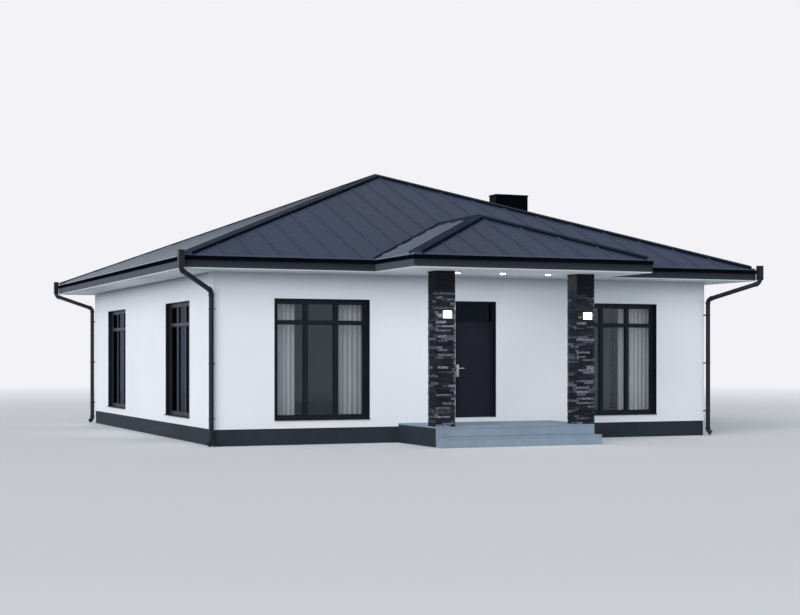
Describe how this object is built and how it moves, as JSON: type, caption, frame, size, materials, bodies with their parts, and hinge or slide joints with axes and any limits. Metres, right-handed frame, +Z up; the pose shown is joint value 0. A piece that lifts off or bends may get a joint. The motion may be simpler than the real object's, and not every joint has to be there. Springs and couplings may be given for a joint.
{
  "type": "single-storey house with hipped roof and entrance porch",
  "caption": "Hollow single-storey house: white rendered walls, hipped seam-metal roof, front porch on stone columns, dark windows and a hinged front door.",
  "frame": {"origin": "at ground level, under the middle of the whole outline in plan", "axes": "+X to the right side seen from the front, +Y from the front to the back, +Z up"},
  "size_m": [13.552, 15.7014, 6.4017],
  "materials": {
    "plinth": "matt dark blue-grey plaster",
    "screed": "smooth matt",
    "render": "fine matt white render",
    "roof_metal": "satin slate blue-grey",
    "cap_metal": "satin near-black",
    "soffit_metal": "satin light grey",
    "fascia_metal": "satin charcoal",
    "gutter_metal": "satin near-black",
    "paving": "fine matt concrete",
    "ledge_stone": "split dark slate",
    "dark_frame": "satin anthracite",
    "window_glass": "clear",
    "door_paint": "satin anthracite",
    "handle_steel": "brushed",
    "lamp_metal": "satin",
    "lamp_glow": "opal",
    "track_metal": "satin",
    "sheer_cloth": "sheer grey-white weave",
    "chimney_metal": "matt black"
  },
  "bodies": {
    "house": {"foundation": "plinth", "floor": "screed", "front_wall_left": "render", "front_wall_right": "render", "front_wall_over_door": "render", "left_wall": "render", "right_wall": "render", "rear_wall_left": "render", "rear_wall_right": "render", "ceiling": "screed", "roof_front": "roof_metal", "roof_rear": "roof_metal", "roof_left": "roof_metal", "roof_right": "roof_metal", "hip_caps": "cap_metal", "porch_roof_front": "roof_metal", "porch_roof_left": "roof_metal", "porch_roof_right": "roof_metal", "porch_hip_caps": "cap_metal", "flashings": "cap_metal", "soffits": "soffit_metal", "porch_ceiling": "soffit_metal", "fascia": "fascia_metal", "porch_fascia": "fascia_metal", "gutters": "gutter_metal", "porch_gutter": "gutter_metal", "downpipes": "gutter_metal", "pipe_brackets": "gutter_metal", "porch_platform": "plinth", "porch_paving": "paving", "porch_step": "paving", "column_left": "ledge_stone", "column_right": "ledge_stone", "door_frame": "dark_frame", "door_transom_glass": "window_glass", "door_threshold": "render", "front_window_frames": "dark_frame", "left_window_frames": "dark_frame", "right_window_frames": "dark_frame", "rear_window_frames": "dark_frame", "front_glass": "window_glass", "left_glass": "window_glass", "right_glass": "window_glass", "rear_glass": "window_glass", "window_sills": "dark_frame", "window_linings": "dark_frame", "window_handles": "handle_steel", "wall_lamps": "lamp_metal", "wall_lamp_glows": "lamp_glow", "porch_spotlights": "lamp_glow", "curtain_tracks": "track_metal", "curtain_1": "sheer_cloth", "curtain_2": "sheer_cloth", "curtain_3": "sheer_cloth", "curtain_4": "sheer_cloth", "chimney": "chimney_metal", "chimney_cap": "chimney_metal"},
    "front_door": {"door_leaf": "door_paint", "door_handles": "handle_steel"}
  },
  "joints": [
    {"name": "front_door_hinge", "type": "hinge", "parent": "house", "child": "front_door", "pos_m": [0.427, -4.813, 1.5], "axis": [0, 0, -1], "range_deg": [0, 90]}
  ]
}
